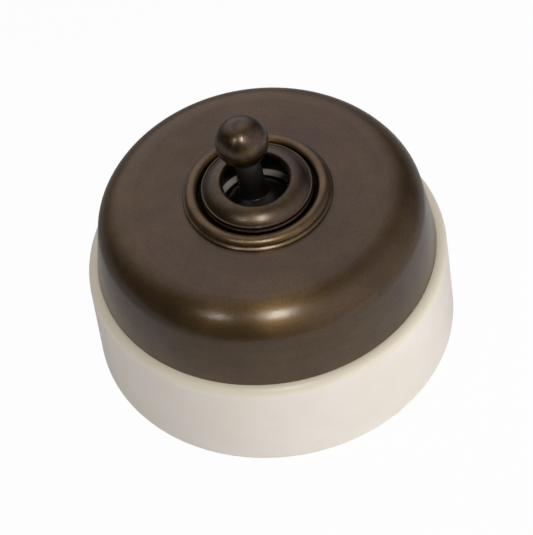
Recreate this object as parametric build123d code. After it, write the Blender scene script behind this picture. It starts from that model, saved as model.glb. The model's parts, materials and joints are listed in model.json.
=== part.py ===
from build123d import *
import os
from math import acos, atan2, cos, degrees, radians, sin, sqrt, tan

# Round surface switch with a dolly: back face on z = 0, +Z out of the wall, +Y up the wall.
# All sizes are in millimetres.

# Porcelain base
BASE_R = 36.0
BASE_H = 21.6
BASE_DRAFT = 0.15
BASE_TOP_EDGE_R = 2.2
BASE_BACK_EDGE_R = 1.0
BASE_WALL = 5.2
BASE_FLOOR = 5.0
FOOT_RING_W = 5.0
FOOT_RECESS = 0.8
SPIGOT_H = 2.8
SPIGOT_WALL = 1.9
FIXING_SPACING = 50.8
FIXING_R = 2.3
FIXING_HEAD_R = 4.3
CABLE_R = 4.5
CABLE_X = 17.5
CABLE_Y = 18.5

# Spun brass cover
LEDGE_W = 2.1
COVER_T = 0.9
SIDE_DRAFT = 8.2
SHOULDER_R = 4.0
SHOULDER_TURN = 26.0
HAUNCH_R = 9.2
CROWN_R = 500.0
SEAT_Z = 38.9
SEAT_R = 15.3

# Trim ring on the crown
TRIM_R = 14.8
TRIM_FOOT_H = 0.35
BEAD_IN_R = 0.8
BEAD_OUT_R = 1.75
TRIM_BORE_R = 11.75
TRIM_WEB = 0.6

# Screwed collar ring
COLLAR_R = 11.0
COLLAR_STEP_W = 0.25
COLLAR_STEP_H = 1.75
COLLAR_LIP_W = 0.3
COLLAR_LIP_H = 2.5
COLLAR_GROOVE = 0.15
COLLAR_GROOVE_W = 0.2
COLLAR_DOME_SHARE = 0.7
COLLAR_MOUTH_R = 6.9
COLLAR_TOP = 4.4
COLLAR_MOUTH_EDGE = 0.7
COLLAR_MOUTH_H = 1.1

# Bush, liner and washer that carry the collar
THREAD_R = 10.1
BUSH_BORE_R = 9.3
BUSH_FLANGE_R = 11.6
THREAD_H = 1.6
WASHER_T = 0.5
LINER_BORE_R = 8.7
LINER_LIP_R = 7.55
LINER_COVE_R = 2.0
LINER_LIP_T = 0.35
LINER_RIM_T = 0.35

# Dolly
PIVOT_Z = 30.0
LEAN = 12.0
SHIELD_R = 8.75
SHIELD_T = 1.2
SHIELD_ANGLE = 66.0
NECK_TOP_R = 2.5
NECK_WAIST_R = 2.6
NECK_BASE_R = 3.1
NECK_FLARE = 2.2
BALL_R = 5.25
BALL_REACH = 20.6
HUB_R = 3.4
HUB_W = 10.0
STEM_R = 2.9
SPRING_SEAT = 3.6
SPIGOT_R = 1.45
SPIGOT_REACH = 5.2
STUD_R = 1.25
STUD_GRIP = 3.2
PIN_R = 1.2
PIN_HEAD_R = 1.9
PIN_HEAD_T = 0.7

# Rocker and toggle spring
ROCK = 15.0
TOGGLE_REACH = 10.0
ROCKER_HUB_R = 2.4
ROCKER_HUB_W = 6.6
ROCKER_ARM = 10.4
ROCKER_ARM_W = 5.6
ROCKER_ARM_T = 1.0
ROCKER_FINGER_R = 1.3
ROCKER_BALL_R = 2.1
ROCKER_PIN_R = 1.0
ROCKER_PIN_END = 0.4
TIP_R = 1.3
TIP_T = 0.6
TIP_Y = 9.0
SPRING_R = 2.05
SPRING_WIRE_R = 0.3
SPRING_TURNS = 4.0

# Bridge, switch block and metalwork
BRIDGE_T = 1.2
BRIDGE_TOP_Z = 35.0
BRIDGE_R = 12.0
BRIDGE_LEG_W = 8.0
BRIDGE_HOLE_R = 8.2
BRIDGE_FOOT = 5.6
BRIDGE_BEND_R = 0.6
BRIDGE_SCREW_REACH = 3.0
BLOCK_T = 2.6
BLOCK_X = 18.0
BLOCK_Y = 11.5
BLOCK_END_X = 8.0
BLOCK_END_Y = 22.5
BLOCK_CORNER_R = 1.5
BRACKET_T = 1.0
BRACKET_W = 5.0
TONGUE_W = 4.4
TONGUE_T = 0.7
TERMINAL_W = 6.4
TERMINAL_L = 5.6
TERMINAL_H = 7.5
TERMINAL_Y = 19.0
TERMINAL_EDGE = 0.4
WIRE_R = 1.6
WIRE_SHARE = 0.42
CLAMP_REACH = 0.9
SIDE_TERMINAL_X = 7.6
SIDE_TERMINAL_Y = 8.4

# Screws
SCREW_R = 1.25
SCREW_HEAD_R = 2.4
SCREW_HEAD_H = 1.3
SCREW_HEAD_EDGE = 0.4
SLOT_W = 0.6
SLOT_D = 0.6
TERMINAL_SLOT_TURNS = (20, 75, 140)
EARTH_SLOT_TURN = 60
BRIDGE_SLOT_TURN = 35
BLOCK_SLOT_TURNS = (65, 115)

# Fits and clearances
RUNNING_FIT = 0.04
SLIP_FIT = 0.1
EASY_FIT = 0.3
CONTACT_GAP = 0.1

# Heights and places that follow from the sizes above
RIM_R = BASE_R - LEDGE_W
BLOCK_TOP = BASE_FLOOR + BLOCK_T
THROW = TOGGLE_REACH * sin(radians(LEAN))
ROCKER_REACH = THROW / sin(radians(ROCK))
ROCKER_Z = PIVOT_Z - TOGGLE_REACH * cos(radians(LEAN)) - ROCKER_REACH * cos(radians(ROCK))
COLLAR_Z = SEAT_Z + TRIM_WEB
COLLAR_TOP_Z = SEAT_Z + COLLAR_TOP
BUSH_TOP = SEAT_Z + THREAD_H
COVER_SEAT_UNDER = SEAT_Z - COVER_T
BUSH_SHOULDER = COVER_SEAT_UNDER - WASHER_T
LEG_X = BRIDGE_R - BRIDGE_T


def turned(*edges):
    """A solid turned about Z from an outline drawn as radius and height."""
    return revolve(Plane.XZ * make_face(Curve() + list(edges)), Axis.Z)


def outline(*points):
    """A turned solid from straight runs between radius and height points."""
    return revolve(Plane.XZ * make_face(Polyline(*points, close=True)), Axis.Z)


def tube(outer, inner, low, high):
    return outline((inner, low), (outer, low), (outer, high), (inner, high))


def rod(radius, low, high):
    return Pos(0, 0, low) * Cylinder(radius, high - low, align=(Align.CENTER, Align.CENTER, Align.MIN))


def cross_rod(radius, length):
    """A round bar along X, centred on the origin."""
    return Rot(0, 90, 0) * Cylinder(radius, length)


def block(x0, x1, y0, y1, z0, z1):
    return Pos((x0 + x1) / 2, (y0 + y1) / 2, (z0 + z1) / 2) * Box(x1 - x0, y1 - y0, z1 - z0)


def at_pivot(shape, height, angle):
    """Turns a shape drawn about the origin and lifts it to its pivot."""
    return Pos(0, 0, height) * Rot(angle, 0, 0) * shape


def screw(length, x=0.0, y=0.0, z=0.0, turn=0.0):
    """A slotted cheese head screw whose head stands on height z."""
    head = rod(SCREW_HEAD_R, 0, SCREW_HEAD_H)
    top_edge = head.edges().filter_by(GeomType.CIRCLE).sort_by(Axis.Z)[-1]
    head = fillet(top_edge, SCREW_HEAD_EDGE)
    slot = block(-SCREW_HEAD_R, SCREW_HEAD_R, -SLOT_W / 2, SLOT_W / 2, SCREW_HEAD_H - SLOT_D, SCREW_HEAD_H)
    shape = head - slot + rod(SCREW_R, -length, 0)
    return Pos(x, y, z) * Rot(0, 0, turn) * shape


# Porcelain base
def porcelain_base():
    inner = BASE_R - BASE_WALL
    top_r = BASE_R - BASE_DRAFT
    spigot_r = RIM_R - COVER_T / cos(radians(SIDE_DRAFT)) - SPIGOT_H * tan(radians(SIDE_DRAFT)) - EASY_FIT
    foot_r = BASE_R - BASE_BACK_EDGE_R - FOOT_RING_W
    body = outline(
        (0, FOOT_RECESS),
        (foot_r, FOOT_RECESS),
        (foot_r, 0),
        (BASE_R, 0),
        (top_r, BASE_H),
        (spigot_r, BASE_H),
        (spigot_r, BASE_H + SPIGOT_H),
        (spigot_r - SPIGOT_WALL, BASE_H + SPIGOT_H),
        (inner, BASE_H),
        (inner, BASE_FLOOR),
        (0, BASE_FLOOR),
    )
    rings = body.edges().filter_by(GeomType.CIRCLE)
    body = fillet([e for e in rings if abs(e.radius - top_r) < 0.01], BASE_TOP_EDGE_R)
    rings = body.edges().filter_by(GeomType.CIRCLE)
    body = fillet([e for e in rings if abs(e.radius - BASE_R) < 0.01], BASE_BACK_EDGE_R)
    sink = FIXING_HEAD_R - FIXING_R
    for side in (-1, 1):
        x = side * FIXING_SPACING / 2
        body -= Pos(x, 0, 0) * rod(FIXING_R, 0, BASE_FLOOR)
        body -= Pos(x, 0, BASE_FLOOR - sink / 2) * Cone(FIXING_R, FIXING_HEAD_R, sink)
        body -= Pos(side * CABLE_X, -side * CABLE_Y, 0) * rod(CABLE_R, 0, BASE_FLOOR)
        body -= Pos(0, side * block_screw_y(), 0) * rod(SCREW_R + RUNNING_FIT, BASE_FLOOR / 2, BASE_FLOOR)
    return body


# Spun brass cover
def dome_run(inset):
    """Side, shoulder, haunch and crown of the cover, each tangent to the next, moved inwards by the inset."""
    draft = radians(SIDE_DRAFT)
    turn = radians(SHOULDER_TURN)
    crown_z = SEAT_Z - sqrt(CROWN_R**2 - SEAT_R**2)
    # Centre of the haunch with no side wall, seen from the centre of the crown
    step = HAUNCH_R - SHOULDER_R
    hx = RIM_R - SHOULDER_R * cos(draft) - step * cos(turn)
    hz = BASE_H - SHOULDER_R * sin(draft) - step * sin(turn) - crown_z
    # The side wall lifts it on to the circle on which haunch and crown are tangent.
    along = hz * cos(draft) - hx * sin(draft)
    side = sqrt(along**2 - hx**2 - hz**2 + (CROWN_R - HAUNCH_R) ** 2) - along
    hx -= side * sin(draft)
    hz += side * cos(draft)
    sx = hx + step * cos(turn)
    sz = hz + step * sin(turn)
    join = degrees(atan2(hz, hx))
    crown_end = degrees(acos(SEAT_R / (CROWN_R - inset)))
    foot = (RIM_R - inset / cos(draft), BASE_H)
    shoulder = CenterArc((sx, crown_z + sz), SHOULDER_R - inset, SIDE_DRAFT, SHOULDER_TURN - SIDE_DRAFT)
    haunch = CenterArc((hx, crown_z + hz), HAUNCH_R - inset, SHOULDER_TURN, join - SHOULDER_TURN)
    crown = CenterArc((0, crown_z), CROWN_R - inset, join, crown_end - join)
    return [Line(foot, shoulder @ 0), shoulder, haunch, crown]


def cover():
    outer = dome_run(0)
    inner = dome_run(COVER_T)
    hole = THREAD_R + EASY_FIT
    under = (SEAT_R, COVER_SEAT_UNDER)
    return turned(
        *outer,
        Polyline(outer[-1] @ 1, (hole, SEAT_Z), (hole, COVER_SEAT_UNDER), under, inner[-1] @ 1),
        *inner,
        Line(inner[0] @ 0, outer[0] @ 0),
    )


# Trim ring on the crown
def trim_ring():
    foot_z = SEAT_Z + TRIM_FOOT_H
    top_z = foot_z + BEAD_OUT_R
    top_r = TRIM_BORE_R + BEAD_IN_R
    foot = RadiusArc((TRIM_R, SEAT_Z), (TRIM_R - TRIM_FOOT_H, foot_z), -TRIM_FOOT_H)
    outer = RadiusArc((top_r + BEAD_OUT_R, foot_z), (top_r, top_z), -BEAD_OUT_R)
    inner = RadiusArc((top_r, top_z), (TRIM_BORE_R, top_z - BEAD_IN_R), -BEAD_IN_R)
    hole = THREAD_R + EASY_FIT
    return turned(
        foot,
        Line(foot @ 1, outer @ 0),
        outer,
        inner,
        Polyline(inner @ 1, (TRIM_BORE_R, COLLAR_Z), (hole, COLLAR_Z), (hole, SEAT_Z), (TRIM_R, SEAT_Z)),
    )


# Collar ring that screws the cover down
def collar_ring():
    step_z = SEAT_Z + COLLAR_STEP_H
    lip_z = SEAT_Z + COLLAR_LIP_H
    lip_out = COLLAR_R - COLLAR_STEP_W
    lip_in = lip_out - COLLAR_LIP_W
    groove_in = lip_in - COLLAR_GROOVE_W
    bore = THREAD_R + SLIP_FIT
    mouth_in = COLLAR_MOUTH_R + COLLAR_MOUTH_EDGE
    mouth_z = COLLAR_TOP_Z - COLLAR_MOUTH_EDGE
    dome = ThreePointArc(
        (groove_in, lip_z),
        ((groove_in + mouth_in) / 2, lip_z + (COLLAR_TOP_Z - lip_z) * COLLAR_DOME_SHARE),
        (mouth_in, COLLAR_TOP_Z),
    )
    roll = RadiusArc(dome @ 1, (COLLAR_MOUTH_R, mouth_z), -COLLAR_MOUTH_EDGE)
    rim_z = BUSH_TOP + LINER_RIM_T
    return turned(
        Polyline((bore, COLLAR_Z), (COLLAR_R, COLLAR_Z), (COLLAR_R, step_z), (lip_out, step_z)),
        Polyline((lip_out, step_z), (lip_out, lip_z), (lip_in, lip_z)),
        Polyline((lip_in, lip_z), ((lip_in + groove_in) / 2, lip_z - COLLAR_GROOVE), (groove_in, lip_z)),
        dome,
        roll,
        Polyline(roll @ 1, (COLLAR_MOUTH_R, COLLAR_TOP_Z - COLLAR_MOUTH_H), (LINER_BORE_R, rim_z)),
        Polyline((LINER_BORE_R, rim_z), (bore, rim_z), (bore, COLLAR_Z)),
    )


def threaded_bush():
    return outline(
        (BUSH_BORE_R, BRIDGE_TOP_Z),
        (BUSH_FLANGE_R, BRIDGE_TOP_Z),
        (BUSH_FLANGE_R, BUSH_SHOULDER),
        (THREAD_R, BUSH_SHOULDER),
        (THREAD_R, BUSH_TOP),
        (BUSH_BORE_R, BUSH_TOP),
    )


def cover_washer():
    return tube(BUSH_FLANGE_R, THREAD_R + SLIP_FIT, BUSH_SHOULDER, COVER_SEAT_UNDER)


# Black liner of the opening, with a coved lip round the dolly's shield
def bush_liner():
    outer = BUSH_BORE_R - SLIP_FIT
    rim_z = BUSH_TOP + LINER_RIM_T
    lip_z = BRIDGE_TOP_Z + LINER_LIP_T
    bend = degrees(acos(1 - (LINER_BORE_R - LINER_LIP_R) / LINER_COVE_R))
    cove_z = lip_z + LINER_COVE_R * sin(radians(bend))
    cove = CenterArc((LINER_BORE_R - LINER_COVE_R, cove_z), LINER_COVE_R, 0, -bend)
    return turned(
        Polyline(cove @ 1, (LINER_LIP_R, BRIDGE_TOP_Z), (outer, BRIDGE_TOP_Z), (outer, BUSH_TOP)),
        Polyline((outer, BUSH_TOP), (THREAD_R, BUSH_TOP), (THREAD_R, rim_z), (LINER_BORE_R, rim_z)),
        Line((LINER_BORE_R, rim_z), cove @ 0),
        cove,
    )


# Dolly: moulded lever with a domed shield, a ball knob and a stud between them
def knob_seat():
    """Distance from the pivot to the flat where the knob stands on the neck."""
    return BALL_REACH - sqrt(BALL_R**2 - NECK_TOP_R**2)


def dolly_lever():
    rim_x = SHIELD_R * sin(radians(SHIELD_ANGLE))
    rim_z = SHIELD_R * cos(radians(SHIELD_ANGLE))
    inner = SHIELD_R - SHIELD_T
    base_z = sqrt(SHIELD_R**2 - NECK_BASE_R**2)
    inner_rim_z = sqrt(inner**2 - (rim_x - SHIELD_T) ** 2)
    stem_z = sqrt(inner**2 - STEM_R**2)
    neck = Spline(
        (NECK_TOP_R, knob_seat()),
        (NECK_WAIST_R, (knob_seat() + base_z) / 2),
        (NECK_BASE_R, base_z),
        tangents=((0, -1), (1, -NECK_FLARE)),
    )
    start = degrees(atan2(base_z, NECK_BASE_R))
    shield = CenterArc((0, 0), SHIELD_R, start, 90 - SHIELD_ANGLE - start)
    inner_start = degrees(atan2(inner_rim_z, rim_x - SHIELD_T))
    inner_end = degrees(atan2(stem_z, STEM_R))
    under = CenterArc((0, 0), inner, inner_start, inner_end - inner_start)
    shape = turned(
        Line((0, knob_seat()), (NECK_TOP_R, knob_seat())),
        neck,
        shield,
        Polyline((rim_x, rim_z), (rim_x - SHIELD_T, inner_rim_z)),
        under,
        Polyline(under @ 1, (STEM_R, -SPRING_SEAT), (SPIGOT_R, -SPRING_SEAT), (SPIGOT_R, -SPIGOT_REACH)),
        Polyline((SPIGOT_R, -SPIGOT_REACH), (0, -SPIGOT_REACH), (0, knob_seat())),
    )
    shape += cross_rod(HUB_R, HUB_W)
    shape -= cross_rod(PIN_R + RUNNING_FIT, HUB_W)
    shape -= rod(STUD_R + RUNNING_FIT, knob_seat() - STUD_GRIP, knob_seat())
    return at_pivot(shape, PIVOT_Z, -LEAN)


def dolly_knob():
    ball = Pos(0, 0, BALL_REACH) * Sphere(BALL_R)
    ball -= rod(NECK_TOP_R * 2, BALL_REACH - BALL_R, knob_seat())
    ball -= rod(STUD_R + RUNNING_FIT, knob_seat(), knob_seat() + STUD_GRIP)
    return at_pivot(ball, PIVOT_Z, -LEAN)


def knob_stud():
    stud = rod(STUD_R, knob_seat() - STUD_GRIP, knob_seat() + STUD_GRIP)
    return at_pivot(stud, PIVOT_Z, -LEAN)


def dolly_pin():
    pin = cross_rod(PIN_R, 2 * BRIDGE_R)
    for side in (-1, 1):
        pin += Pos(side * (BRIDGE_R + PIN_HEAD_T / 2), 0, 0) * cross_rod(PIN_HEAD_R, PIN_HEAD_T)
    return Pos(0, 0, PIVOT_Z) * pin


# Toggle spring between the dolly's spigot and the rocker's ball
def toggle_spring():
    seat_drop = sqrt((ROCKER_BALL_R + SPRING_WIRE_R) ** 2 - SPRING_R**2) + SPRING_WIRE_R
    length = TOGGLE_REACH - SPRING_SEAT - seat_drop - SLIP_FIT
    rise = length - 2 * SPRING_WIRE_R
    path = Helix(rise / SPRING_TURNS, rise, SPRING_R)
    wire = Plane(path @ 0, z_dir=path % 0) * Circle(SPRING_WIRE_R)
    coil = sweep(wire, path)
    coil = Pos(0, 0, -SPRING_SEAT - SPRING_WIRE_R - rise - SLIP_FIT / 2) * coil
    return at_pivot(coil, PIVOT_Z, -LEAN)


# Rocker with its contact tips and pin
def rocker():
    shape = cross_rod(ROCKER_HUB_R, ROCKER_HUB_W)
    half = ROCKER_ARM_T / 2
    shape += block(-ROCKER_ARM_W / 2, ROCKER_ARM_W / 2, -ROCKER_ARM, ROCKER_ARM, -half, half)
    shape += rod(ROCKER_FINGER_R, 0, ROCKER_REACH)
    shape += Pos(0, 0, ROCKER_REACH) * Sphere(ROCKER_BALL_R)
    shape -= cross_rod(ROCKER_PIN_R + RUNNING_FIT, ROCKER_HUB_W)
    return at_pivot(shape, ROCKER_Z, ROCK)


def rocker_contacts():
    tips = []
    for side in (-1, 1):
        low = -ROCKER_ARM_T / 2 - TIP_T
        tips.append(Pos(0, side * TIP_Y, 0) * rod(TIP_R, low, -ROCKER_ARM_T / 2))
    return at_pivot(Compound(tips), ROCKER_Z, ROCK)


def bracket_reach():
    """Outer half width of the common bracket across its ears."""
    return ROCKER_HUB_W / 2 + SLIP_FIT + BRACKET_T


def rocker_pin():
    return Pos(0, 0, ROCKER_Z) * cross_rod(ROCKER_PIN_R, 2 * (bracket_reach() + ROCKER_PIN_END))


# Common bracket: two ears and a strip that leads to its terminal
def rocker_bracket():
    reach = bracket_reach()
    top = BLOCK_TOP + BRACKET_T
    half = BRACKET_W / 2
    tab = SIDE_TERMINAL_X - TERMINAL_W / 2
    shape = block(-reach, SIDE_TERMINAL_X, -half, half, BLOCK_TOP, top)
    shape += block(tab, SIDE_TERMINAL_X, 0, SIDE_TERMINAL_Y, BLOCK_TOP, top)
    for side in (-1, 1):
        ear = block(0, BRACKET_T, -half, half, BLOCK_TOP, ROCKER_Z)
        ear += Pos(BRACKET_T / 2, 0, ROCKER_Z) * cross_rod(half, BRACKET_T)
        place = reach - BRACKET_T if side > 0 else -reach
        shape += Pos(place, 0, 0) * ear
    shape -= Pos(0, 0, ROCKER_Z) * cross_rod(ROCKER_PIN_R + RUNNING_FIT, 4 * reach)
    return shape


# Terminals: brass blocks with a wire hole and a clamping screw from above
def terminal(x, y, z):
    top = z + TERMINAL_H
    wire_z = z + TERMINAL_H * WIRE_SHARE
    shape = block(x - TERMINAL_W / 2, x + TERMINAL_W / 2, y - TERMINAL_L / 2, y + TERMINAL_L / 2, z, top)
    shape = chamfer(shape.edges().group_by(Axis.Z)[-1], TERMINAL_EDGE)
    wire = Pos(x, y, wire_z) * cross_rod(WIRE_R, TERMINAL_W)
    return shape - wire - Pos(x, y, 0) * rod(SCREW_R + RUNNING_FIT, wire_z, top)


def line_terminal(side):
    """Terminal, tongue and inclined contact pad of one way of the switch."""
    shape = terminal(0, side * TERMINAL_Y, BLOCK_TOP)
    face_y = side * TIP_Y
    face_z = -ROCKER_ARM_T / 2 - TIP_T - CONTACT_GAP
    pad = Pos(0, face_y, 0) * rod(TIP_R, face_z - 2 * TIP_T, face_z)
    pad = at_pivot(pad, ROCKER_Z, -side * ROCK)
    pad = pad & block(-TIP_R, TIP_R, -TERMINAL_Y, TERMINAL_Y, BLOCK_TOP + TONGUE_T / 2, ROCKER_Z)
    ends = sorted((side * (TIP_Y - 2 * TIP_R), side * TERMINAL_Y))
    tongue = block(-TONGUE_W / 2, TONGUE_W / 2, ends[0], ends[1], BLOCK_TOP, BLOCK_TOP + TONGUE_T)
    shape += tongue + pad
    hole = rod(SCREW_R + SLIP_FIT, BLOCK_TOP, BLOCK_TOP + TONGUE_T)
    return shape - Pos(0, side * block_screw_y(), 0) * hole


def common_terminal():
    return terminal(SIDE_TERMINAL_X, SIDE_TERMINAL_Y, BLOCK_TOP + BRACKET_T)


def earth_terminal():
    """Terminal on the bridge's foot side, with a tab clamped under the foot."""
    shape = terminal(-SIDE_TERMINAL_X, -SIDE_TERMINAL_Y, BLOCK_TOP)
    foot_end = LEG_X + BRIDGE_T + BRIDGE_FOOT
    low = -SIDE_TERMINAL_Y - TERMINAL_L / 2
    tab = block(-foot_end, -SIDE_TERMINAL_X, low, -BRIDGE_LEG_W / 2 - SLIP_FIT, BLOCK_TOP, BLOCK_TOP + TONGUE_T)
    return shape + tab


def clamp_length():
    """Terminal screws reach a little into the wire hole."""
    return TERMINAL_H * (1 - WIRE_SHARE) - WIRE_R + CLAMP_REACH


def terminal_screws():
    length = clamp_length()
    top = BLOCK_TOP + TERMINAL_H
    places = (
        (0, TERMINAL_Y, top),
        (0, -TERMINAL_Y, top),
        (SIDE_TERMINAL_X, SIDE_TERMINAL_Y, top + BRACKET_T),
    )
    return Compound([screw(length, *place, turn) for place, turn in zip(places, TERMINAL_SLOT_TURNS)])


def earth_screw():
    length = clamp_length()
    return screw(length, -SIDE_TERMINAL_X, -SIDE_TERMINAL_Y, BLOCK_TOP + TERMINAL_H, EARTH_SLOT_TURN)


# Bridge: stamped disc with two legs and feet, which carries the dolly and the bush
def bridge():
    half = BRIDGE_LEG_W / 2
    shape = rod(BRIDGE_R, BRIDGE_TOP_Z - BRIDGE_T, BRIDGE_TOP_Z)
    shape -= rod(BRIDGE_HOLE_R, BRIDGE_TOP_Z - BRIDGE_T, BRIDGE_TOP_Z)
    foot_end = LEG_X + BRIDGE_T + BRIDGE_FOOT
    for side in (-1, 1):
        leg = sorted((side * LEG_X, side * (LEG_X + BRIDGE_T)))
        foot = sorted((side * LEG_X, side * foot_end))
        shape += block(leg[0], leg[1], -half, half, BLOCK_TOP, BRIDGE_TOP_Z)
        shape += block(foot[0], foot[1], -half, half, BLOCK_TOP, BLOCK_TOP + BRIDGE_T)
        x = side * bridge_screw_x()
        shape -= Pos(x, 0, 0) * rod(SCREW_R + SLIP_FIT, BLOCK_TOP, BLOCK_TOP + BRIDGE_T)
    foot_top = BLOCK_TOP + BRIDGE_T
    corners = shape.edges().filter_by(Axis.Y).filter_by_position(Axis.Z, foot_top - SLIP_FIT, foot_top + SLIP_FIT)
    bends = [e for e in corners if abs(abs(e.center().X) - BRIDGE_R) < SLIP_FIT]
    shape = fillet(bends, BRIDGE_BEND_R)
    shape -= Pos(0, 0, PIVOT_Z) * cross_rod(PIN_R + RUNNING_FIT, 4 * BRIDGE_R)
    return shape


def bridge_screw_x():
    return BRIDGE_R + BRIDGE_SCREW_REACH


def bridge_screws():
    length = BRIDGE_T + BLOCK_T
    z = BLOCK_TOP + BRIDGE_T
    return Compound([screw(length, side * bridge_screw_x(), 0, z, side * BRIDGE_SLOT_TURN) for side in (-1, 1)])


def block_screw_y():
    return TERMINAL_Y - TERMINAL_L / 2 - SCREW_HEAD_R - EASY_FIT


# Moulded switch block on the porcelain floor
def switch_block():
    plan = Rectangle(2 * BLOCK_X, 2 * BLOCK_Y) + Rectangle(2 * BLOCK_END_X, 2 * BLOCK_END_Y)
    plan = fillet(plan.vertices(), BLOCK_CORNER_R)
    shape = Pos(0, 0, BASE_FLOOR) * extrude(plan, BLOCK_T)
    for side in (-1, 1):
        shape -= Pos(side * bridge_screw_x(), 0, 0) * rod(SCREW_R + RUNNING_FIT, BASE_FLOOR, BLOCK_TOP)
        shape -= Pos(0, side * block_screw_y(), 0) * rod(SCREW_R + SLIP_FIT, BASE_FLOOR, BLOCK_TOP)
    return shape


def block_screws():
    length = BLOCK_T + TONGUE_T + BASE_FLOOR / 2
    z = BLOCK_TOP + TONGUE_T
    y = block_screw_y()
    return Compound([screw(length, 0, side * y, z, turn) for side, turn in zip((-1, 1), BLOCK_SLOT_TURNS)])


PARTS = {
    "porcelain_base": porcelain_base,
    "cover": cover,
    "cover_washer": cover_washer,
    "trim_ring": trim_ring,
    "collar_ring": collar_ring,
    "threaded_bush": threaded_bush,
    "bush_liner": bush_liner,
    "dolly_lever": dolly_lever,
    "dolly_knob": dolly_knob,
    "knob_stud": knob_stud,
    "dolly_pin": dolly_pin,
    "toggle_spring": toggle_spring,
    "rocker": rocker,
    "rocker_contacts": rocker_contacts,
    "rocker_pin": rocker_pin,
    "rocker_bracket": rocker_bracket,
    "common_terminal": common_terminal,
    "earth_terminal": earth_terminal,
    "terminal_screws": terminal_screws,
    "earth_screw": earth_screw,
    "bridge": bridge,
    "bridge_screws": bridge_screws,
    "switch_block": switch_block,
    "block_screws": block_screws,
}


def main():
    os.makedirs("parts", exist_ok=True)
    for name, make in PARTS.items():
        export_step(make(), f"parts/{name}.step")
    for name, side in (("lower_contact", -1), ("upper_contact", 1)):
        export_step(line_terminal(side), f"parts/{name}.step")


main()
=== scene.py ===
import json
from math import acos, atan2, cos, pi, radians, sin, sqrt, tan

import bmesh
import bpy
from bpy.props import FloatProperty, FloatVectorProperty, PointerProperty
from bpy.types import Operator, Panel, PropertyGroup
from mathutils import Matrix, Vector


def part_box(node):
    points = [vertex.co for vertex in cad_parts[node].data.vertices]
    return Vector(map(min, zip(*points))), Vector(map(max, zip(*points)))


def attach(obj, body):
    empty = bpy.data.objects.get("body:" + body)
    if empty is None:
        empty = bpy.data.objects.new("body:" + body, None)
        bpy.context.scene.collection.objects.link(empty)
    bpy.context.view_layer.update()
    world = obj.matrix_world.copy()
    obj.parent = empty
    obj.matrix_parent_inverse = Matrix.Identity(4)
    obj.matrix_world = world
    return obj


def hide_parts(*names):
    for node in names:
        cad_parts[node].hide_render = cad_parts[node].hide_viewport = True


bl_info = {
    "name": "Porcelain dolly switch",
    "version": (1, 0, 0),
    "blender": (4, 5, 0),
    "location": "3D View > Sidebar > Switch",
    "description": "Dresses the round porcelain light switch and its studio",
    "category": "Object",
}

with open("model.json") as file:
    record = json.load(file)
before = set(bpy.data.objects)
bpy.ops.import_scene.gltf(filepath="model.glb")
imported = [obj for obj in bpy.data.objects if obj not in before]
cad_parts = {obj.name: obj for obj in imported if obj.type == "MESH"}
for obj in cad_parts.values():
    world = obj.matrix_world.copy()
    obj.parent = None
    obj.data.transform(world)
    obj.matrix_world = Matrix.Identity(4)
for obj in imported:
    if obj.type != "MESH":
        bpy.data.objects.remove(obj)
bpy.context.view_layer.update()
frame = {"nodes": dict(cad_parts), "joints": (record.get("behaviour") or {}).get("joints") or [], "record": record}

MM = 0.001

# Places read from the frame, in metres
BASE_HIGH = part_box("porcelain_base")[1]
COVER_LOW, COVER_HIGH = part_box("cover")
TRIM_LOW, TRIM_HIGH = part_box("trim_ring")
COLLAR_LOW, COLLAR_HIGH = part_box("collar_ring")
BUSH_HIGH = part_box("threaded_bush")[1]
LINER_LOW, LINER_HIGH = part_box("bush_liner")
KNOB_LOW, KNOB_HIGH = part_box("dolly_knob")
PIVOT = Vector(next(j for j in frame["joints"] if j["name"] == "dolly_tip")["pos_m"])

# Steps round the axis of wide and of small turned forms
WIDE_STEPS = 256
SMALL_STEPS = 160

# Corners above this angle stay sharp in the shading
SHARP_CORNER = radians(42)


def colour(hex_code):
    """A linear colour from an sRGB hex value."""
    parts = [int(hex_code[i:i + 2], 16) / 255 for i in (1, 3, 5)]
    linear = [c / 12.92 if c <= 0.04045 else ((c + 0.055) / 1.055) ** 2.4 for c in parts]
    return (*linear, 1.0)


class SwitchSizes(PropertyGroup):
    """Sizes of the parts that the frame's boxes do not give."""

    base_edge: FloatProperty(
        name="Porcelain edge", description="Rounding of the porcelain's upper edge",
        default=2.2 * MM, unit="LENGTH", precision=4)
    base_back_edge: FloatProperty(
        name="Porcelain back edge", description="Rounding beside the wall",
        default=1.0 * MM, unit="LENGTH", precision=4)
    cover_thickness: FloatProperty(
        name="Cover thickness", description="Thickness of the spun brass",
        default=0.9 * MM, unit="LENGTH", precision=4)
    cover_draft: FloatProperty(
        name="Cover draft", description="Lean of the cover's side",
        default=radians(8.2), subtype="ANGLE")
    cover_shoulder: FloatProperty(
        name="Cover shoulder", description="Radius of the cover's shoulder",
        default=4.0 * MM, unit="LENGTH", precision=4)
    shoulder_turn: FloatProperty(
        name="Shoulder turn", description="Angle at which the shoulder gives way to the haunch",
        default=radians(26.0), subtype="ANGLE")
    cover_haunch: FloatProperty(
        name="Cover haunch", description="Radius of the cover's haunch",
        default=9.2 * MM, unit="LENGTH", precision=4)
    cover_crown: FloatProperty(
        name="Cover crown", description="Radius of the cover's crown",
        default=500.0 * MM, unit="LENGTH", precision=4)


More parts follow.
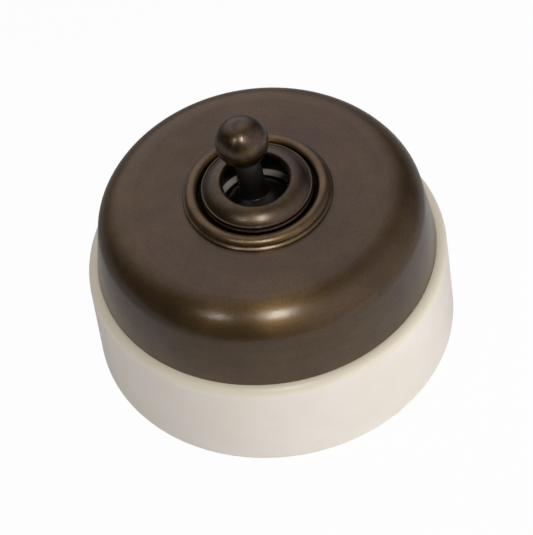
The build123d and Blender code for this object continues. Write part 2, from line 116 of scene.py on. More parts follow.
class SwitchColours(PropertyGroup):
    """Colours of the finishes."""

    porcelain: FloatVectorProperty(
        name="Porcelain", description="Cream glaze", subtype="COLOR", size=4,
        default=colour("#E8E1D8"), min=0, max=1)
    bronze: FloatVectorProperty(
        name="Antique bronze", description="Dark patina of the brass", subtype="COLOR", size=4,
        default=colour("#6D563F"), min=0, max=1)
    bronze_rubbed: FloatVectorProperty(
        name="Rubbed bronze", description="Patina where it is thin", subtype="COLOR", size=4,
        default=colour("#776333"), min=0, max=1)
    moulding: FloatVectorProperty(
        name="Black moulding", description="Phenolic moulding", subtype="COLOR", size=4,
        default=colour("#12100E"), min=0, max=1)


def sizes():
    return bpy.context.scene.switch_sizes


def colours():
    return bpy.context.scene.switch_colours


# Drawing outlines and turning them

def start(bm, radius, height):
    return bm.verts.new((radius, 0, height))


def run(bm, vert, radius, height):
    """A straight run from a vertex to radius and height."""
    new = bmesh.ops.extrude_vert_indiv(bm, verts=[vert])["verts"][0]
    new.co = (radius, 0, height)
    return new


def path(bm, vert, points):
    for radius, height in points:
        vert = run(bm, vert, radius, height)
    return vert


def arc(bm, vert, centre, angle, steps):
    """An arc of the outline about centre, anticlockwise for a positive angle."""
    made = bmesh.ops.spin(
        bm, geom=[vert], cent=(centre[0], 0, centre[1]), axis=(0, -1, 0), dvec=(0, 0, 0), angle=angle,
        steps=steps)
    return next(g for g in made["geom_last"] if isinstance(g, bmesh.types.BMVert))


def close(bm, last, first):
    bm.edges.new((last, first))


def turn(bm, steps, edge_round, sharp=radians(35)):
    """Turns the outline about Z and rounds its sharp rings."""
    bmesh.ops.spin(
        bm, geom=bm.verts[:] + bm.edges[:], cent=(0, 0, 0), axis=(0, 0, 1), dvec=(0, 0, 0),
        angle=2 * pi, steps=steps, use_merge=True)
    bmesh.ops.remove_doubles(bm, verts=bm.verts[:], dist=0.002 * MM)
    bmesh.ops.dissolve_degenerate(bm, edges=bm.edges[:], dist=0.001 * MM)
    bmesh.ops.recalc_face_normals(bm, faces=bm.faces[:])
    rings = [e for e in bm.edges if len(e.link_faces) == 2 and e.calc_face_angle() > sharp]
    bmesh.ops.bevel(
        bm, geom=rings, offset=edge_round, offset_type="OFFSET", segments=3, profile=0.5,
        affect="EDGES", clamp_overlap=True, material=-1)


def crease(bm):
    """Shades the faces smooth and keeps the corners sharp."""
    for face in bm.faces:
        face.smooth = True
    for edge in bm.edges:
        edge.smooth = len(edge.link_faces) != 2 or edge.calc_face_angle() < SHARP_CORNER


def lay(bm, name, body, node, material, place=None):
    """Makes the finished mesh a piece that rides on its body and stands for its node."""
    if place is not None:
        bmesh.ops.transform(bm, matrix=place, verts=bm.verts[:])
    crease(bm)
    mesh = bpy.data.meshes.new(name)
    bm.to_mesh(mesh)
    bm.free()
    piece = bpy.data.objects.new(name, mesh)
    bpy.context.scene.collection.objects.link(piece)
    mesh.materials.append(material)
    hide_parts(node)
    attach(piece, body)
    return piece


def node(tree, kind, links=None, **settings):
    """Adds a node with its settings, its inputs by name and its links."""
    new = tree.nodes.new(kind)
    for key, value in settings.items():
        setattr(new, key, value)
    for key, value in (links or {}).items():
        if isinstance(value, bpy.types.NodeSocket):
            tree.links.new(value, new.inputs[key])
        else:
            new.inputs[key].default_value = value
    return new


def material(name):
    """A new material with its shader; its tree and shader node."""
    made = bpy.data.materials.new(name)
    made.use_nodes = True
    return made, made.node_tree, made.node_tree.nodes["Principled BSDF"]


# Materials. A noise's scale counts clouds per metre: 100 makes them about 10 mm wide.

# Colour of the ledge: a yellower glaze with painted shade
LEDGE_GLAZE_AND_SHADE = "#D4CBB4"
# Colour of the painted golden sheen, which on the trim ring is partly rubbed patina
SHEEN_AND_WEAR_BRONZE = "#7B6036"
# Colour of the painted shade in narrow gaps between parts
GAP_SHADE_COLOUR = "#1C150F"
# Colour of the pale band of painted light on the liner's cove
LIT_BAND_GREY = "#D6CABA"
FIBRE_DARK = "#6E3226"
FIBRE_PALE = "#8A4A38"


def tinted(base, red, green, blue):
    return base[0] * red, base[1] * green, base[2] * blue, 1.0


def glazed_porcelain():
    """Cream porcelain under a satin glaze: soft sheen, clouds of 14 mm and pinholes of 1 mm."""
    made, tree, shader = material("glazed_porcelain")
    where = node(tree, "ShaderNodeTexCoord").outputs["Object"]
    base = tuple(colours().porcelain)
    clouds = node(tree, "ShaderNodeTexNoise", {
        "Vector": where, "Scale": 70.0, "Detail": 4.0, "Roughness": 0.6})
    cloudy = node(tree, "ShaderNodeMapRange", {
        "Value": clouds.outputs["Fac"], "From Min": 0.35, "From Max": 0.65})
    tint = node(tree, "ShaderNodeMix", {
        "Factor": cloudy.outputs["Result"], "A": base, "B": tinted(base, 0.95, 0.935, 0.89)},
        data_type="RGBA")
    specks = node(tree, "ShaderNodeTexNoise", {
        "Vector": where, "Scale": 900.0, "Detail": 2.0, "Roughness": 0.5})
    pinholes = node(tree, "ShaderNodeMapRange", {
        "Value": specks.outputs["Fac"], "From Min": 0.69, "From Max": 0.79, "To Max": 0.16})
    speckled = node(tree, "ShaderNodeMix", {
        "Factor": pinholes.outputs["Result"], "A": tint.outputs["Result"],
        "B": tinted(base, 0.55, 0.55, 0.55)}, data_type="RGBA")
    # The ledge is painted darker and yellower: partly glaze pooling yellow there, partly painted shade on the
    # upward-facing rounded ledge
    height = node(tree, "ShaderNodeSeparateXYZ", {"Vector": where}).outputs["Z"]
    ledge_tint_and_shade = node(tree, "ShaderNodeMapRange", {
        "Value": height, "From Min": COVER_LOW.z - 2.2 * MM, "From Max": COVER_LOW.z - 0.4 * MM},
        interpolation_type="SMOOTHSTEP")
    glaze = node(tree, "ShaderNodeMix", {
        "Factor": ledge_tint_and_shade.outputs["Result"], "A": speckled.outputs["Result"], "B": colour(LEDGE_GLAZE_AND_SHADE)},
        data_type="RGBA")
    tree.links.new(glaze.outputs["Result"], shader.inputs["Base Color"])
    ripple = node(tree, "ShaderNodeTexNoise", {
        "Vector": where, "Scale": 260.0, "Detail": 3.0, "Roughness": 0.55})
    bump = node(tree, "ShaderNodeBump", {
        "Height": ripple.outputs["Fac"], "Strength": 0.12, "Distance": 0.3 * MM})
    tree.links.new(bump.outputs["Normal"], shader.inputs["Normal"])
    shader.inputs["Roughness"].default_value = 0.38
    shader.inputs["IOR"].default_value = 1.52
    shader.inputs["Coat Weight"].default_value = 0.25
    shader.inputs["Coat Roughness"].default_value = 0.25
    return made


def radius_at(tree, where):
    """Distance from the switch's axis."""
    flat = node(tree, "ShaderNodeVectorMath", {0: where, 1: (1, 1, 0)}, operation="MULTIPLY")
    length = node(tree, "ShaderNodeVectorMath", {0: flat.outputs["Vector"]}, operation="LENGTH")
    return length.outputs["Value"]


def antique_bronze(
        name, roughness, lacquer_roughness, rubbed, shaded_gap=None, mottle=110.0, spun=0.0, bright=1.0,
        sheen_and_wear=None):
    """Brass with a chemical patina under lacquer: cloudy brown, olive where it is thin.

    rubbed says how far the patina thins in patches, mottle is the scale of its clouds, and bright
    scales its tone. shaded_gap gives the radii between which painted shade in a narrow gap starts
    and is full.
    spun is the strength of the faint rings that spinning left. sheen_and_wear gives four heights:
    between them the tone is painted lighter and golden, most between the middle two; on the cover
    this is a painted sheen, on the trim ring partly rubbed patina and partly a painted reflection."""
    made, tree, shader = material(name)
    where = node(tree, "ShaderNodeTexCoord").outputs["Object"]
    clouds = node(tree, "ShaderNodeTexNoise", {
        "Vector": where, "Scale": mottle, "Detail": 5.0, "Roughness": 0.62})
    thin = node(tree, "ShaderNodeMapRange", {
        "Value": clouds.outputs["Fac"], "From Min": 0.42, "From Max": 0.68, "To Max": rubbed})
    tone = node(tree, "ShaderNodeMix", {
        "Factor": thin.outputs["Result"], "A": tuple(colours().bronze),
        "B": tuple(colours().bronze_rubbed)}, data_type="RGBA").outputs["Result"]
    # Painted sheen: a lighter golden band between the given heights, where the glow of highlights falls
    if sheen_and_wear:
        height = node(tree, "ShaderNodeSeparateXYZ", {"Vector": where}).outputs["Z"]
        above = node(tree, "ShaderNodeMapRange", {
            "Value": height, "From Min": sheen_and_wear[0], "From Max": sheen_and_wear[1], "To Max": 0.6},
            interpolation_type="SMOOTHSTEP")
        below = node(tree, "ShaderNodeMapRange", {
            "Value": height, "From Min": sheen_and_wear[2], "From Max": sheen_and_wear[3], "To Min": 1.0, "To Max": 0.0},
            interpolation_type="SMOOTHSTEP")
        sheen_share = node(tree, "ShaderNodeMath", {
            0: above.outputs["Result"], 1: below.outputs["Result"]}, operation="MULTIPLY")
        tone = node(tree, "ShaderNodeMix", {
            "Factor": sheen_share.outputs["Value"], "A": tone, "B": colour(SHEEN_AND_WEAR_BRONZE)},
            data_type="RGBA").outputs["Result"]
    # The real grain is finer; this one of 0.4 mm still shows in a render
    grain = node(tree, "ShaderNodeTexNoise", {
        "Vector": where, "Scale": 2600.0, "Detail": 3.0, "Roughness": 0.6})
    grain_tone = node(tree, "ShaderNodeMapRange", {
        "Value": grain.outputs["Fac"], "From Min": 0.3, "From Max": 0.7,
        "To Min": 0.82 * bright, "To Max": 1.18 * bright})
    tone = node(tree, "ShaderNodeVectorMath", {
        0: tone, "Scale": grain_tone.outputs["Result"]}, operation="SCALE").outputs["Vector"]
    # Darker where the patina bit deeper, most on a piece that is rubbed bright elsewhere
    bitten = node(tree, "ShaderNodeTexNoise", {
        "Vector": where, "Scale": mottle * 1.7, "Detail": 3.0, "Roughness": 0.55})
    bitten_tone = node(tree, "ShaderNodeMapRange", {
        "Value": bitten.outputs["Fac"], "From Min": 0.35, "From Max": 0.6,
        "To Min": 1.0 - 0.38 * rubbed, "To Max": 1.0 + 0.04 * rubbed})
    tone = node(tree, "ShaderNodeVectorMath", {
        0: tone, "Scale": bitten_tone.outputs["Result"]}, operation="SCALE").outputs["Vector"]
    if spun:
        height = node(tree, "ShaderNodeSeparateXYZ", {"Vector": where}).outputs["Z"]
        ring = node(tree, "ShaderNodeCombineXYZ", {"X": radius_at(tree, where), "Z": height})
        marks = node(tree, "ShaderNodeTexNoise", {
            "Vector": ring.outputs["Vector"], "Scale": 1100.0, "Detail": 3.0, "Roughness": 0.6})
        mark_tone = node(tree, "ShaderNodeMapRange", {
            "Value": marks.outputs["Fac"], "From Min": 0.3, "From Max": 0.7, "To Min": 0.93, "To Max": 1.07})
        tone = node(tree, "ShaderNodeVectorMath", {
            0: tone, "Scale": mark_tone.outputs["Result"]}, operation="SCALE").outputs["Vector"]
        # The rings spread a highlight across themselves
        along = node(tree, "ShaderNodeTangent", direction_type="RADIAL", axis="Z")
        tree.links.new(along.outputs["Tangent"], shader.inputs["Tangent"])
        shader.inputs["Anisotropic"].default_value = spun
        shader.inputs["Anisotropic Rotation"].default_value = 0.25
    shader.inputs["Coat Weight"].default_value = 1.0
    # Painted shade: darker and without the lacquer's sheen in a narrow gap, where shadow falls
    if shaded_gap:
        gap_shade = node(tree, "ShaderNodeMapRange", {
            "Value": radius_at(tree, where), "From Min": shaded_gap[0], "From Max": shaded_gap[1]})
        tone = node(tree, "ShaderNodeMix", {
            "Factor": gap_shade.outputs["Result"], "A": tone, "B": colour(GAP_SHADE_COLOUR)},
            data_type="RGBA").outputs["Result"]
        lacquer = node(tree, "ShaderNodeMath", {0: 1.0, 1: gap_shade.outputs["Result"]}, operation="SUBTRACT")
        tree.links.new(lacquer.outputs["Value"], shader.inputs["Coat Weight"])
    tree.links.new(tone, shader.inputs["Base Color"])
    rough = node(tree, "ShaderNodeMapRange", {
        "Value": clouds.outputs["Fac"], "From Min": 0.3, "From Max": 0.7,
        "To Min": roughness * 0.92, "To Max": roughness * 1.08})
    tree.links.new(rough.outputs["Result"], shader.inputs["Roughness"])
    bump = node(tree, "ShaderNodeBump", {
        "Height": grain.outputs["Fac"], "Strength": 0.25, "Distance": 0.05 * MM})
    for normal in ("Normal", "Coat Normal"):
        tree.links.new(bump.outputs["Normal"], shader.inputs[normal])
    shader.inputs["Metallic"].default_value = 1.0
    shader.inputs["Coat Roughness"].default_value = lacquer_roughness
    shader.inputs["Coat IOR"].default_value = 1.55
    return made


def black_moulding(name, roughness, lit_band=None):
    """Phenolic moulding with a satin sheen and a faint flow mottle of 2.5 mm.

    lit_band gives the heights of a pale band painted on the cove's far side, standing in for light
    that falls there."""
    made, tree, shader = material(name)
    where = node(tree, "ShaderNodeTexCoord").outputs["Object"]
    flow = node(tree, "ShaderNodeTexNoise", {
        "Vector": where, "Scale": 400.0, "Detail": 3.0, "Roughness": 0.5})
    base = tuple(colours().moulding)
    tone = node(tree, "ShaderNodeMix", {
        "Factor": flow.outputs["Fac"], "A": base, "B": tinted(base, 1.6, 1.6, 1.6)},
        data_type="RGBA").outputs["Result"]
    # Painted light: a pale band on the cove's far side
    if lit_band:
        low, high = lit_band
        place = node(tree, "ShaderNodeSeparateXYZ", {"Vector": where})
        above = node(tree, "ShaderNodeMapRange", {
            "Value": place.outputs["Z"], "From Min": low, "From Max": low + 0.08 * MM})
        below = node(tree, "ShaderNodeMapRange", {
            "Value": place.outputs["Z"], "From Min": high, "From Max": high + 0.15 * MM,
            "To Min": 1.0, "To Max": 0.0})
        band = node(tree, "ShaderNodeMath", {
            0: above.outputs["Result"], 1: below.outputs["Result"]}, operation="MULTIPLY")
        # Painted light: the band shows only on the far side, fading towards the ends of the dolly's pin
        far = node(tree, "ShaderNodeMapRange", {
            "Value": place.outputs["Y"], "From Min": 3.5 * MM, "From Max": 7.6 * MM})
        lit_share = node(tree, "ShaderNodeMath", {
            0: band.outputs["Value"], 1: far.outputs["Result"]}, operation="MULTIPLY")
        tone = node(tree, "ShaderNodeMix", {
            "Factor": lit_share.outputs["Value"], "A": tone, "B": colour(LIT_BAND_GREY)},
            data_type="RGBA").outputs["Result"]
    tree.links.new(tone, shader.inputs["Base Color"])
    bump = node(tree, "ShaderNodeBump", {
        "Height": flow.outputs["Fac"], "Strength": 0.05, "Distance": 0.05 * MM})
    tree.links.new(bump.outputs["Normal"], shader.inputs["Normal"])
    shader.inputs["Roughness"].default_value = roughness
    shader.inputs["IOR"].default_value = 1.55
    shader.inputs["Specular Tint"].default_value = (1.0, 0.92, 0.84, 1)
    return made


def bare_metal(name, hex_code, roughness, grain_scale):
    """Stamped or turned metal: fine drawn grain and a slightly uneven tone."""
    made, tree, shader = material(name)
    where = node(tree, "ShaderNodeTexCoord").outputs["Object"]
    drawn = node(tree, "ShaderNodeMapping", {"Vector": where, "Scale": (1.0, 1.0, 12.0)})
    grain = node(tree, "ShaderNodeTexNoise", {
        "Vector": drawn.outputs["Vector"], "Scale": grain_scale, "Detail": 4.0, "Roughness": 0.6})
    base = colour(hex_code)
    tone = node(tree, "ShaderNodeMix", {
        "Factor": grain.outputs["Fac"], "A": base, "B": tinted(base, 0.72, 0.72, 0.72)}, data_type="RGBA")
    tree.links.new(tone.outputs["Result"], shader.inputs["Base Color"])
    bump = node(tree, "ShaderNodeBump", {
        "Height": grain.outputs["Fac"], "Strength": 0.12, "Distance": 0.03 * MM})
    tree.links.new(bump.outputs["Normal"], shader.inputs["Normal"])
    shader.inputs["Metallic"].default_value = 1.0
    shader.inputs["Roughness"].default_value = roughness
    return made


def vulcanised_fibre():
    """Red-brown fibre washer: matt, with a felted mottle of 0.7 mm."""
    made, tree, shader = material("vulcanised_fibre")
    where = node(tree, "ShaderNodeTexCoord").outputs["Object"]
    felt = node(tree, "ShaderNodeTexNoise", {
        "Vector": where, "Scale": 1500.0, "Detail": 5.0, "Roughness": 0.7})
    tone = node(tree, "ShaderNodeMix", {
        "Factor": felt.outputs["Fac"], "A": colour(FIBRE_DARK), "B": colour(FIBRE_PALE)},
        data_type="RGBA")
    tree.links.new(tone.outputs["Result"], shader.inputs["Base Color"])
    bump = node(tree, "ShaderNodeBump", {
        "Height": felt.outputs["Fac"], "Strength": 0.2, "Distance": 0.05 * MM})
    tree.links.new(bump.outputs["Normal"], shader.inputs["Normal"])
    shader.inputs["Roughness"].default_value = 0.7
    return made


# Boolean cuts and unions for the few forms that are not turned

def combine(piece, other, operation):
    """Joins or cuts a piece with another shape, which is then deleted."""
    cut = piece.modifiers.new("cut", "BOOLEAN")
    cut.operation = operation
    cut.solver = "EXACT"
    cut.object = other
    bpy.context.view_layer.update()
    made = bpy.data.meshes.new_from_object(piece.evaluated_get(bpy.context.evaluated_depsgraph_get()))
    bm = bmesh.new()
    bm.from_mesh(made)
    crease(bm)
    bm.to_mesh(made)
    bm.free()
    piece.modifiers.clear()
    old = piece.data
    piece.data = made
    made.name = old.name
    bpy.data.meshes.remove(old)
    bpy.data.objects.remove(other)


def cylinder(radius, low, high, place=None, top_radius=None, steps=96):
    """A loose cylinder or cone along Z to cut or join with."""
    bm = bmesh.new()
    bmesh.ops.create_cone(
        bm, cap_ends=True, segments=steps, radius1=radius,
        radius2=radius if top_radius is None else top_radius, depth=high - low)
    bmesh.ops.translate(bm, verts=bm.verts[:], vec=(0, 0, (low + high) / 2))
    if place is not None:
        bmesh.ops.transform(bm, matrix=place, verts=bm.verts[:])
    mesh = bpy.data.meshes.new("tool")
    bm.to_mesh(mesh)
    bm.free()
    tool = bpy.data.objects.new("tool", mesh)
    bpy.context.scene.collection.objects.link(tool)
    return tool


# Pieces

BASE_FLOOR = 5.0 * MM
BASE_WALL = 5.2 * MM
BASE_DRAFT = 0.15 * MM
FOOT_RING = 5.0 * MM
FOOT_RECESS = 0.8 * MM
SPIGOT_WALL = 1.9 * MM
SPIGOT_GAP = 0.3 * MM
FIXING_HALF_PITCH = 25.4 * MM
FIXING_RADIUS = 2.3 * MM
FIXING_HEAD = 4.3 * MM
CABLE_RADIUS = 4.5 * MM
CABLE_PLACE = (17.5 * MM, 18.5 * MM)
BLOCK_SCREW_RADIUS = 1.29 * MM
BLOCK_SCREW_PLACE = 13.5 * MM
BLOCK_SCREW_END = 2.5 * MM
# Drills reach this far beyond the floor
DRILL_OVERRUN = 1.0 * MM


class SWITCH_OT_base(Operator):
    """Turns the porcelain base and drills it"""

    bl_idname = "switch.base"
    bl_label = "Porcelain base"

    def execute(self, context):
        size = sizes()
        back_r = BASE_HIGH.x
        ledge_z = COVER_LOW.z
        top_r = back_r - BASE_DRAFT
        inner = back_r - BASE_WALL
        spigot_z = BASE_HIGH.z
        spigot_r = COVER_HIGH.x - (size.cover_thickness / cos(size.cover_draft)) - SPIGOT_GAP
        spigot_r -= (spigot_z - ledge_z) * sin(size.cover_draft)
        edge = size.base_edge
        back_edge = size.base_back_edge
        foot_r = back_r - back_edge - FOOT_RING
        bm = bmesh.new()
        first = start(bm, 0, FOOT_RECESS)
        last = path(bm, first, [(foot_r, FOOT_RECESS), (foot_r, 0), (back_r - back_edge, 0)])
        last = arc(bm, last, (back_r - back_edge, back_edge), pi / 2, steps=10)
        last = run(bm, last, top_r, ledge_z - edge)
        last = arc(bm, last, (top_r - edge, ledge_z - edge), pi / 2, steps=16)
        path(bm, last, [
            (spigot_r, ledge_z), (spigot_r, spigot_z), (spigot_r - SPIGOT_WALL, spigot_z),
            (inner, ledge_z), (inner, BASE_FLOOR), (0, BASE_FLOOR)])
        turn(bm, WIDE_STEPS, edge_round=0.35 * MM)
        piece = lay(bm, "porcelain_body", "housing", "porcelain_base", glazed_porcelain())
        low = -DRILL_OVERRUN
        high = BASE_FLOOR + DRILL_OVERRUN
        sink = FIXING_HEAD - FIXING_RADIUS
        for side in (-1, 1):
            fixing = Matrix.Translation((side * FIXING_HALF_PITCH, 0, 0))
            combine(piece, cylinder(FIXING_RADIUS, low, high, fixing), "DIFFERENCE")
            countersink = cylinder(FIXING_RADIUS, BASE_FLOOR - sink, BASE_FLOOR, fixing, FIXING_HEAD)
            combine(piece, countersink, "DIFFERENCE")
            cable = Matrix.Translation((side * CABLE_PLACE[0], -side * CABLE_PLACE[1], 0))
            combine(piece, cylinder(CABLE_RADIUS, low, high, cable), "DIFFERENCE")
            screw = Matrix.Translation((0, side * BLOCK_SCREW_PLACE, 0))
            screw_hole = cylinder(BLOCK_SCREW_RADIUS, BLOCK_SCREW_END, high, screw, steps=32)
            combine(piece, screw_hole, "DIFFERENCE")
        return {"FINISHED"}


BUSH_HOLE = 10.4 * MM
# The cover's flat seat reaches this far beyond the trim ring
SEAT_MARGIN = 0.5 * MM
# Depths under that seat between which a lighter golden sheen is painted round the haunch
HAUNCH_SHEEN = (6.4 * MM, 4.0 * MM, 1.0 * MM, 0.15 * MM)


def dome_run(bm, inset, size):
    """Side, shoulder, haunch and crown of the cover moved inwards by the inset; first and last vertex."""
    rim_r = COVER_HIGH.x
    rim_z = COVER_LOW.z
    seat_z = TRIM_LOW.z
    seat_r = TRIM_HIGH.x + SEAT_MARGIN
    draft = size.cover_draft
    turn_end = size.shoulder_turn
    crown_z = seat_z - sqrt(size.cover_crown ** 2 - seat_r ** 2)
    step = size.cover_haunch - size.cover_shoulder
    # Centre of the haunch above the crown's, first as if the side had no length
    haunch_x = rim_r - size.cover_shoulder * cos(draft) - step * cos(turn_end)
    haunch_z = rim_z - size.cover_shoulder * sin(draft) - step * sin(turn_end) - crown_z
    # The side gets the length with which the haunch runs smoothly into the crown
    along = haunch_z * cos(draft) - haunch_x * sin(draft)
    between = size.cover_crown - size.cover_haunch
    side = sqrt(along ** 2 - haunch_x ** 2 - haunch_z ** 2 + between ** 2) - along
    haunch_x -= side * sin(draft)
    haunch_z += side * cos(draft) + crown_z
    shoulder_x = haunch_x + step * cos(turn_end)
    shoulder_z = haunch_z + step * sin(turn_end)
    join = atan2(haunch_z - crown_z, haunch_x)
    shoulder = size.cover_shoulder - inset
    crown_end = acos(seat_r / (size.cover_crown - inset))
    first = start(bm, rim_r - inset / cos(draft), rim_z)
    last = run(bm, first, shoulder_x + shoulder * cos(draft), shoulder_z + shoulder * sin(draft))
    last = arc(bm, last, (shoulder_x, shoulder_z), turn_end - draft, steps=12)
    last = arc(bm, last, (haunch_x, haunch_z), join - turn_end, steps=28)
    last = arc(bm, last, (0, crown_z), crown_end - join, steps=8)
    return first, last


class SWITCH_OT_cover(Operator):
    """Turns the spun bronze cover"""

    bl_idname = "switch.cover"
    bl_label = "Bronze cover"

    def execute(self, context):
        size = sizes()
        seat_z = TRIM_LOW.z
        under_z = seat_z - size.cover_thickness
        bm = bmesh.new()
        outer_foot, outer_end = dome_run(bm, 0, size)
        inner_foot, inner_end = dome_run(bm, size.cover_thickness, size)
        last = path(bm, outer_end, [
            (BUSH_HOLE, seat_z), (BUSH_HOLE, under_z), (TRIM_HIGH.x + SEAT_MARGIN, under_z)])
        close(bm, last, inner_end)
        close(bm, inner_foot, outer_foot)
        turn(bm, WIDE_STEPS, edge_round=0.15 * MM, sharp=radians(50))
        bronze = antique_bronze(
            "antique_bronze_cover", roughness=0.44, lacquer_roughness=0.22, rubbed=0.4, spun=0.7,
            # Painted sheen round the haunch, where the highlights' golden glow falls
            sheen_and_wear=[seat_z - depth for depth in HAUNCH_SHEEN])
        lay(bm, "bronze_cover", "housing", "cover", bronze)
        return {"FINISHED"}


TRIM_FOOT_EDGE = 0.4 * MM
TRIM_FOOT = 0.75 * MM
TRIM_FOOT_W = 0.45 * MM
TRIM_GROOVE = 0.07 * MM
TRIM_BORE = 11.75 * MM
# Width of the painted shade on the bead's inner edge
TRIM_GAP_SHADE = 0.35 * MM
TRIM_SHEEN_AND_WEAR_FADE = 0.3 * MM
BEAD_IN = 1.15 * MM
BEAD_OUT = 1.5 * MM
FLANK_TURN = radians(68)


class SWITCH_OT_trim(Operator):
    """Turns the beaded trim ring"""

    bl_idname = "switch.trim"
    bl_label = "Trim ring"

    def execute(self, context):
        low = TRIM_LOW.z
        top = TRIM_HIGH.z
        outer = TRIM_HIGH.x
        foot_z = low + TRIM_FOOT
        foot_in = outer - TRIM_FOOT_W
        top_r = TRIM_BORE + BEAD_IN
        flank = (top_r + BEAD_OUT * sin(FLANK_TURN), top - BEAD_OUT * (1 - cos(FLANK_TURN)))
        bm = bmesh.new()
        first = start(bm, BUSH_HOLE, low)
        last = path(bm, first, [
            (outer, low), (outer, low + TRIM_FOOT_EDGE), (foot_in, foot_z),
            (foot_in - TRIM_GROOVE, foot_z - TRIM_GROOVE), flank])
        last = arc(bm, last, (top_r, top - BEAD_OUT), FLANK_TURN, steps=20)
        last = arc(bm, last, (top_r, top - BEAD_IN), pi / 2, steps=14)
        last = path(bm, last, [(TRIM_BORE, COLLAR_LOW.z), (BUSH_HOLE, COLLAR_LOW.z)])
        close(bm, last, first)
        turn(bm, WIDE_STEPS, edge_round=0.08 * MM)
        # The upper two heights lie above the ring, so that all of the bead is painted lighter and golden; with the
        # raised tone this is partly rubbed patina, partly a painted reflection of the lit cover
        bronze = antique_bronze(
            "antique_bronze_trim", roughness=0.42, lacquer_roughness=0.26, rubbed=0.9, bright=1.4,
            # Painted shade darkens the bore's wall and inner rounding in the gap to the collar
            shaded_gap=(TRIM_BORE + TRIM_GAP_SHADE, TRIM_BORE),
            sheen_and_wear=(foot_z, foot_z + TRIM_SHEEN_AND_WEAR_FADE, top + 1 * MM, top + 2 * MM))
        lay(bm, "bronze_trim_ring", "housing", "trim_ring", bronze)
        return {"FINISHED"}


COLLAR_GROWTH = 0.13 * MM
COLLAR_STEP_W = 0.25 * MM
COLLAR_STEP_H = 1.75 * MM
COLLAR_STEP_CUT = 0.3 * MM
COLLAR_LIP_W = 0.3 * MM
COLLAR_LIP_H = 2.5 * MM
COLLAR_GROOVE = 0.15 * MM
COLLAR_GROOVE_W = 0.2 * MM
COLLAR_DOME_SHARE = 0.7
COLLAR_MOUTH = 6.55 * MM
COLLAR_MOUTH_EDGE = 0.7 * MM
COLLAR_MOUTH_H = 1.1 * MM
# Width of the painted shade on the collar's outer wall
COLLAR_GAP_SHADE = 0.02 * MM
THREAD_BORE = 10.2 * MM
LINER_BORE = 8.7 * MM


def arc_through(a, b, c):
    """Centre and turn of the arc from a through b to c, as radius and height."""
    (ax, az), (bx, bz), (cx, cz) = a, b, c
    a2, b2, c2 = (x ** 2 + z ** 2 for x, z in (a, b, c))
    twice_area = 2 * (ax * (bz - cz) + bx * (cz - az) + cx * (az - bz))
    x = (a2 * (bz - cz) + b2 * (cz - az) + c2 * (az - bz)) / twice_area
    z = (a2 * (cx - bx) + b2 * (ax - cx) + c2 * (bx - ax)) / twice_area
    return (x, z), atan2(cz - z, cx - x) - atan2(az - z, ax - x)


class SWITCH_OT_collar(Operator):
    """Turns the screwed collar ring"""

    bl_idname = "switch.collar"
    bl_label = "Collar ring"

    def execute(self, context):
        seat_z = TRIM_LOW.z
        low = COLLAR_LOW.z
        top = COLLAR_HIGH.z
        outer = COLLAR_HIGH.x + COLLAR_GROWTH
        step_z = seat_z + COLLAR_STEP_H
        lip_z = seat_z + COLLAR_LIP_H
        lip_out = outer - COLLAR_STEP_W
        lip_in = lip_out - COLLAR_LIP_W
        groove_in = lip_in - COLLAR_GROOVE_W
        mouth_in = COLLAR_MOUTH + COLLAR_MOUTH_EDGE
        rim_z = LINER_HIGH.z
        middle = ((groove_in + mouth_in) / 2, lip_z + (top - lip_z) * COLLAR_DOME_SHARE)
        centre, angle = arc_through((groove_in, lip_z), middle, (mouth_in, top))
        bm = bmesh.new()
        first = start(bm, THREAD_BORE, low)
        last = path(bm, first, [
            (outer, low), (outer, step_z - COLLAR_STEP_CUT), (lip_out, step_z), (lip_out, lip_z),
            (lip_in, lip_z), ((lip_in + groove_in) / 2, lip_z - COLLAR_GROOVE), (groove_in, lip_z)])
        last = arc(bm, last, centre, angle, steps=24)
        last = arc(bm, last, (mouth_in, top - COLLAR_MOUTH_EDGE), pi / 2, steps=12)
        last = path(bm, last, [
            (COLLAR_MOUTH, top - COLLAR_MOUTH_H), (LINER_BORE, rim_z), (THREAD_BORE, rim_z)])
        close(bm, last, first)
        turn(bm, WIDE_STEPS, edge_round=0.07 * MM)
        bronze = antique_bronze(
            "antique_bronze_collar", roughness=0.40, lacquer_roughness=0.26, rubbed=0.8, bright=0.9,
            # Painted shade darkens the outer wall in the gap to the trim ring
            shaded_gap=(outer - COLLAR_GAP_SHADE, outer))
        lay(bm, "bronze_collar_ring", "housing", "collar_ring", bronze)
        return {"FINISHED"}


BUSH_BORE = 9.3 * MM
LINER_PLAY = 0.1 * MM
LINER_LIP = 7.55 * MM
LINER_LIP_T = 0.35 * MM
LINER_COVE = 0.5 * MM
LINER_SLOPE = radians(36)
# Start of the painted pale band above the liner's lip
LINER_LIT_BAND_START = 0.02 * MM


